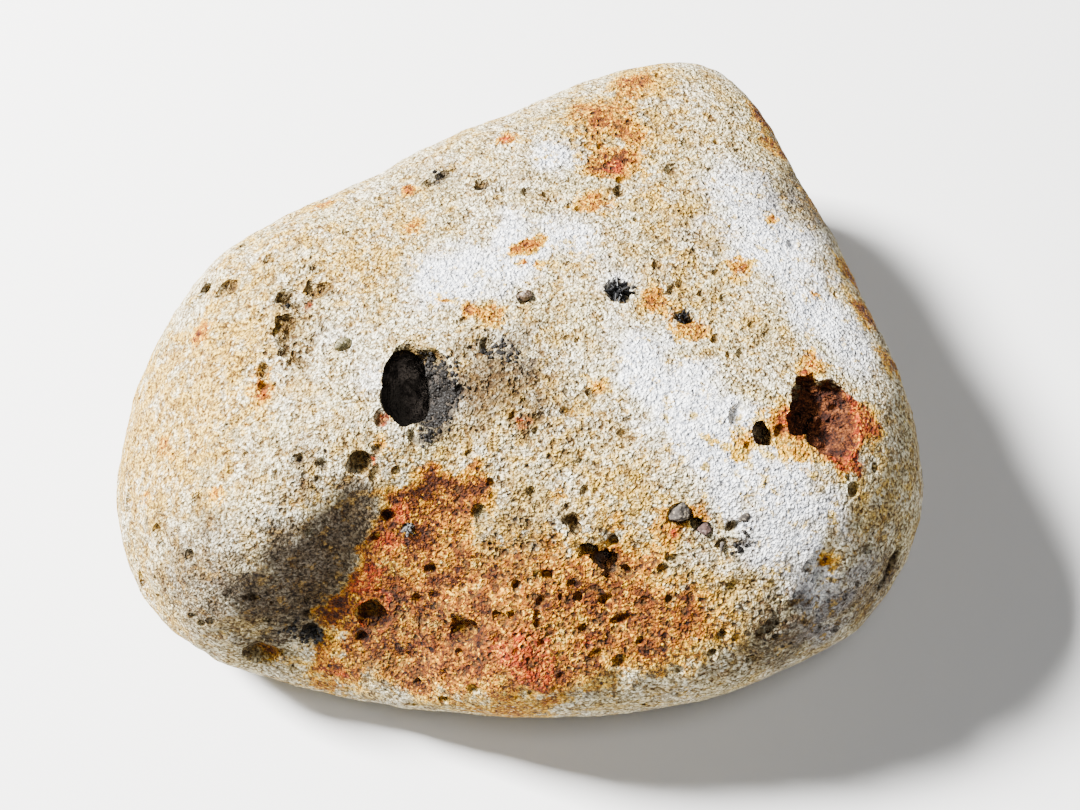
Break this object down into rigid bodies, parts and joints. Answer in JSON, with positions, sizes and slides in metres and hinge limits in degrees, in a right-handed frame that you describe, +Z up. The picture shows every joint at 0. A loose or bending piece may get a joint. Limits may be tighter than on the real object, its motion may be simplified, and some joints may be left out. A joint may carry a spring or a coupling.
{
  "type": "pumice stone",
  "caption": "Rounded triangular pumice stone with a flat worn belly, open gas bubbles, a spalled rusty front facet and small lodged grains and crystals.",
  "frame": {"origin": "on the worn belly the stone rests on, below the middle of the stone", "axes": "+Z up out of the top; +X along the longest side-to-side extent, towards the rusty side hole; +Y towards the blunt back tip, away from the sloping rusty front facet"},
  "size_m": [0.0906, 0.0816, 0.0353],
  "materials": {
    "pumice": "matt, finely porous, off-white with cream and rust stains",
    "lithic_grain": "matt, granular grey",
    "sand_grain": "smooth, brown grey",
    "dark_crystal": "glassy near black",
    "pale_crystal": "glassy white"
  },
  "bodies": {
    "root": {"pumice_body": "pumice", "lithic_grain_large": "lithic_grain", "lithic_grain_mid": "lithic_grain", "lithic_grain_small": "lithic_grain", "lithic_grain_outer": "lithic_grain", "sand_grain_round": "sand_grain", "sand_grain_oval": "sand_grain", "dark_crystal_centre": "dark_crystal", "dark_crystal_right": "dark_crystal", "pale_crystal_scar": "pale_crystal"}
  },
  "joints": []
}
